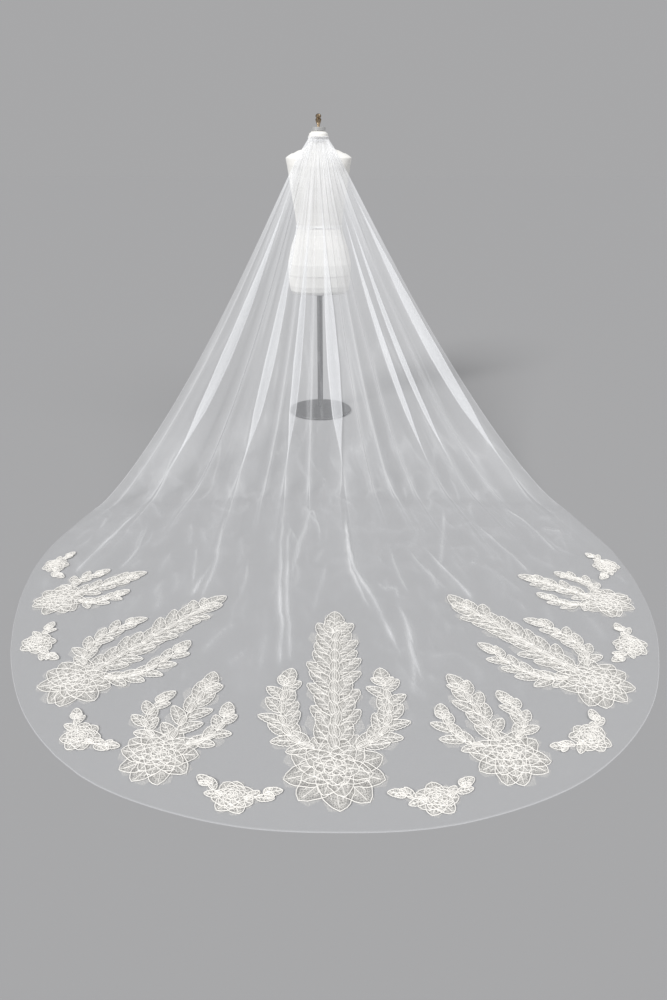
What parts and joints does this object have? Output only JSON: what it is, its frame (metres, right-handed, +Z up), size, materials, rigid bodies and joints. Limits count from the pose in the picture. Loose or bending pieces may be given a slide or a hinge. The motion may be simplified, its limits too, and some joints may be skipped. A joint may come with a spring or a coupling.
{
  "type": "bridal veil on a dress form",
  "caption": "Long tulle bridal veil with lace sprays round the train, gathered at the neck of a limbless dress form on a pole stand and spread on the floor.",
  "frame": {"origin": "centre of the stand base's underside, on the floor", "axes": "+Z up, +Y the way the dress form faces, so the veil's train runs out towards -Y; +X is the form's right-hand side seen from behind"},
  "size_m": [2.2691, 3.3306, 1.606],
  "materials": {
    "tulle": "sheer soft net",
    "lace": "matt corded lace",
    "form_cover": "matt woven cover",
    "tape": "woven tape",
    "neck_disc": "satin",
    "finial": "aged bronze",
    "stand": "satin black",
    "comb": "clear"
  },
  "bodies": {
    "root": {"comb": "comb", "form_collar": "stand", "form_torso": "form_cover", "heading_band": "tulle", "lace_centre": "lace", "lace_left_end_sprig": "lace", "lace_left_inner": "lace", "lace_left_inner_sprig": "lace", "lace_left_middle": "lace", "lace_left_middle_sprig": "lace", "lace_left_outer": "lace", "lace_left_outer_sprig": "lace", "lace_right_end_sprig": "lace", "lace_right_inner": "lace", "lace_right_inner_sprig": "lace", "lace_right_middle": "lace", "lace_right_middle_sprig": "lace", "lace_right_outer": "lace", "lace_right_outer_sprig": "lace", "neck_disc": "neck_disc", "neck_finial": "finial", "stand_base": "stand", "stand_pole": "stand", "veil_tulle": "tulle", "waist_tape": "tape"}
  },
  "joints": []
}
